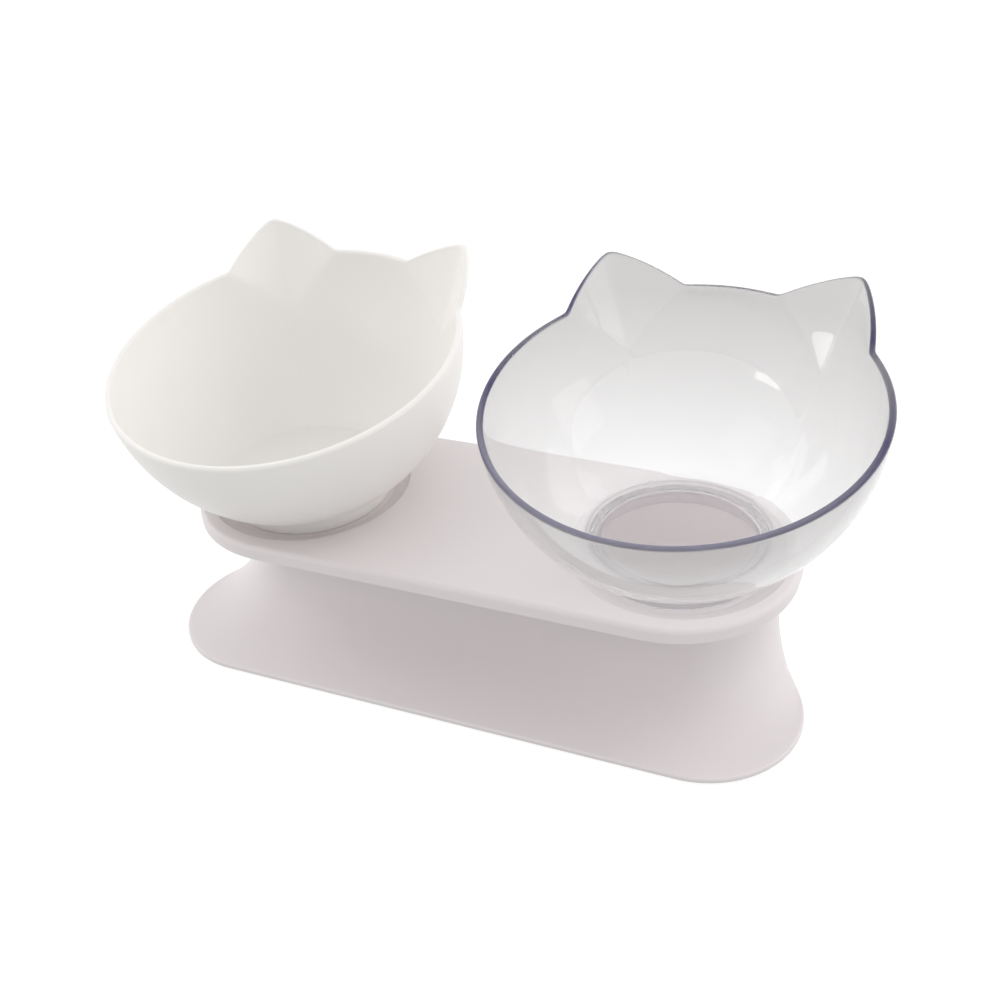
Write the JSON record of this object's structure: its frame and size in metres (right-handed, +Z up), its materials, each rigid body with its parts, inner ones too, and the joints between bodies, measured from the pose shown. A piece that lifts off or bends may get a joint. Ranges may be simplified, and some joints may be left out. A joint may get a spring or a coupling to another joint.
{
  "type": "raised double pet bowl",
  "caption": "Raised double pet bowl: two tilted cat-ear bowls, one white and one clear, lift out of a plate on a flared pedestal.",
  "frame": {"origin": "on the floor, under the middle of the object's bounding box", "axes": "+Z up, +X along the plate from the white bowl to the clear bowl, -Y towards the side that the pet eats from"},
  "size_m": [0.2844, 0.1332, 0.1381],
  "materials": {
    "stand": "satin",
    "white_bowl": "gloss",
    "clear_bowl": "polished",
    "pads": "matte"
  },
  "bodies": {
    "stand": {"pedestal": "stand", "top_plate": "stand", "pad_front_left": "pads", "pad_front_right": "pads", "pad_back_left": "pads", "pad_back_right": "pads"},
    "white_bowl": {"white_bowl": "white_bowl"},
    "clear_bowl": {"clear_bowl": "clear_bowl"}
  },
  "joints": [
    {"name": "white_bowl_lift", "type": "slide", "parent": "stand", "child": "white_bowl", "axis": [0, 0, 1], "range_m": [0, 0.06]},
    {"name": "clear_bowl_lift", "type": "slide", "parent": "stand", "child": "clear_bowl", "axis": [0, 0, 1], "range_m": [0, 0.06]}
  ]
}
